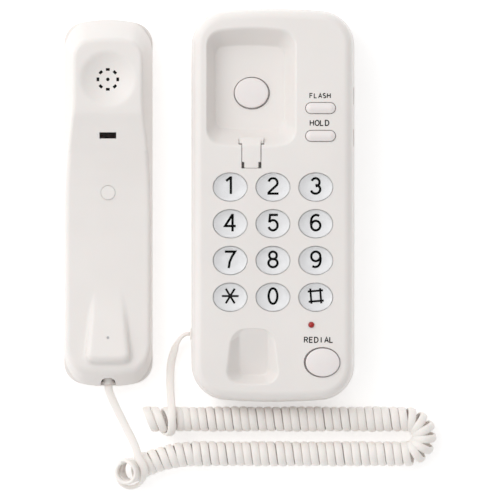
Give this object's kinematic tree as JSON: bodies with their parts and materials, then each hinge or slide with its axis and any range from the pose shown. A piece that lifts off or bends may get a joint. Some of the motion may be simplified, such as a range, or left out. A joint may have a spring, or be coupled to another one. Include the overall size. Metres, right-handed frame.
{
  "type": "slimline wall telephone",
  "caption": "Slim push-button telephone: a base with a recessed earpiece well and domed keys, a flat handset lying beside it, and a coiled cord joining the two.",
  "frame": {"origin": "centre of the base's flat back face", "axes": "+Z out of the keypad face, +Y towards the earpiece end of the base, +X to the user's right, away from the handset"},
  "size_m": [0.2104, 0.2669, 0.0405],
  "materials": {
    "housing": "satin moulded ABS",
    "button": "satin moulded ABS",
    "cord": "soft PVC",
    "steel": "plated",
    "rubber": "matt",
    "circuit_board": "solder resist",
    "black_plastic": "matt",
    "led": "clear red",
    "key_lens": "clear polished acrylic",
    "key_plate": "pearl grey"
  },
  "bodies": {
    "base": {"base_front_shell": "housing", "base_rear_cover": "housing", "base_screws": "steel", "rubber_feet": "rubber", "hook_switch_spring": "steel", "hook_microswitch": "black_plastic", "ring_indicator_led": "led", "keypad_rubber_mat": "rubber", "keypad_board": "circuit_board", "ringer_volume_switch": "black_plastic", "dial_mode_switch": "black_plastic", "main_circuit_board": "circuit_board", "ringer": "steel", "line_jack": "black_plastic", "base_cord_grommet": "cord", "base_weight": "steel", "cord_coil": "cord", "cord_tail_base": "cord"},
    "handset": {"handset_front_shell": "housing", "handset_rear_shell": "housing", "handset_screw": "steel", "screw_cover": "housing", "earpiece_receiver": "black_plastic", "microphone": "steel", "microphone_grommet": "rubber", "handset_weight": "steel", "handset_cord_grommet": "cord", "cord_tail_handset": "cord"},
    "hook_button": {"hook_switch_button": "button"},
    "clip": {"handset_clip": "housing"},
    "key_1": {"key_lens_1": "key_lens", "key_body_1": "key_plate"},
    "key_2": {"key_lens_2": "key_lens", "key_body_2": "key_plate"},
    "key_3": {"key_lens_3": "key_lens", "key_body_3": "key_plate"},
    "key_4": {"key_lens_4": "key_lens", "key_body_4": "key_plate"},
    "key_5": {"key_lens_5": "key_lens", "key_body_5": "key_plate"},
    "key_6": {"key_lens_6": "key_lens", "key_body_6": "key_plate"},
    "key_7": {"key_lens_7": "key_lens", "key_body_7": "key_plate"},
    "key_8": {"key_lens_8": "key_lens", "key_body_8": "key_plate"},
    "key_9": {"key_lens_9": "key_lens", "key_body_9": "key_plate"},
    "key_star": {"key_lens_star": "key_lens", "key_body_star": "key_plate"},
    "key_0": {"key_lens_0": "key_lens", "key_body_0": "key_plate"},
    "key_hash": {"key_lens_hash": "key_lens", "key_body_hash": "key_plate"},
    "flash": {"flash_button": "button"},
    "hold": {"hold_button": "button"},
    "redial": {"redial_button": "button"},
    "volume_knob": {"ringer_volume_knob": "button"},
    "mode_knob": {"dial_mode_knob": "button"}
  },
  "joints": [
    {"name": "handset_lift", "type": "slide", "parent": "base", "child": "handset", "axis": [0, 0, 1], "range_m": [0, 0.1]},
    {"name": "hook_press", "type": "slide", "parent": "base", "child": "hook_button", "axis": [0, 0, -1], "range_m": [0, 0.0034], "stiffness_N_per_m": 250, "springref_m": -0.003, "deforming": ["hook_switch_spring"]},
    {"name": "clip_slide", "type": "slide", "parent": "base", "child": "clip", "axis": [0, 1, 0], "range_m": [0, 0.012]},
    {"name": "key_1_press", "type": "slide", "parent": "base", "child": "key_1", "axis": [0, 0, -1], "range_m": [0, 0.0018], "stiffness_N_per_m": 400, "springref_m": -0.001},
    {"name": "key_2_press", "type": "slide", "parent": "base", "child": "key_2", "axis": [0, 0, -1], "range_m": [0, 0.0018], "stiffness_N_per_m": 400, "springref_m": -0.001},
    {"name": "key_3_press", "type": "slide", "parent": "base", "child": "key_3", "axis": [0, 0, -1], "range_m": [0, 0.0018], "stiffness_N_per_m": 400, "springref_m": -0.001},
    {"name": "key_4_press", "type": "slide", "parent": "base", "child": "key_4", "axis": [0, 0, -1], "range_m": [0, 0.0018], "stiffness_N_per_m": 400, "springref_m": -0.001},
    {"name": "key_5_press", "type": "slide", "parent": "base", "child": "key_5", "axis": [0, 0, -1], "range_m": [0, 0.0018], "stiffness_N_per_m": 400, "springref_m": -0.001},
    {"name": "key_6_press", "type": "slide", "parent": "base", "child": "key_6", "axis": [0, 0, -1], "range_m": [0, 0.0018], "stiffness_N_per_m": 400, "springref_m": -0.001},
    {"name": "key_7_press", "type": "slide", "parent": "base", "child": "key_7", "axis": [0, 0, -1], "range_m": [0, 0.0018], "stiffness_N_per_m": 400, "springref_m": -0.001},
    {"name": "key_8_press", "type": "slide", "parent": "base", "child": "key_8", "axis": [0, 0, -1], "range_m": [0, 0.0018], "stiffness_N_per_m": 400, "springref_m": -0.001},
    {"name": "key_9_press", "type": "slide", "parent": "base", "child": "key_9", "axis": [0, 0, -1], "range_m": [0, 0.0018], "stiffness_N_per_m": 400, "springref_m": -0.001},
    {"name": "key_star_press", "type": "slide", "parent": "base", "child": "key_star", "axis": [0, 0, -1], "range_m": [0, 0.0018], "stiffness_N_per_m": 400, "springref_m": -0.001},
    {"name": "key_0_press", "type": "slide", "parent": "base", "child": "key_0", "axis": [0, 0, -1], "range_m": [0, 0.0018], "stiffness_N_per_m": 400, "springref_m": -0.001},
    {"name": "key_hash_press", "type": "slide", "parent": "base", "child": "key_hash", "axis": [0, 0, -1], "range_m": [0, 0.0018], "stiffness_N_per_m": 400, "springref_m": -0.001},
    {"name": "flash_press", "type": "slide", "parent": "base", "child": "flash", "axis": [0, 0, -1], "range_m": [0, 0.0015], "stiffness_N_per_m": 400, "springref_m": -0.001},
    {"name": "hold_press", "type": "slide", "parent": "base", "child": "hold", "axis": [0, 0, -1], "range_m": [0, 0.0015], "stiffness_N_per_m": 400, "springref_m": -0.001},
    {"name": "redial_press", "type": "slide", "parent": "base", "child": "redial", "axis": [0, 0, -1], "range_m": [0, 0.0015], "stiffness_N_per_m": 400, "springref_m": -0.001},
    {"name": "volume_slide", "type": "slide", "parent": "base", "child": "volume_knob", "axis": [0, 1, 0], "range_m": [-0.0025, 0.0025]},
    {"name": "mode_slide", "type": "slide", "parent": "base", "child": "mode_knob", "axis": [0, 1, 0], "range_m": [-0.0025, 0.0025]}
  ]
}
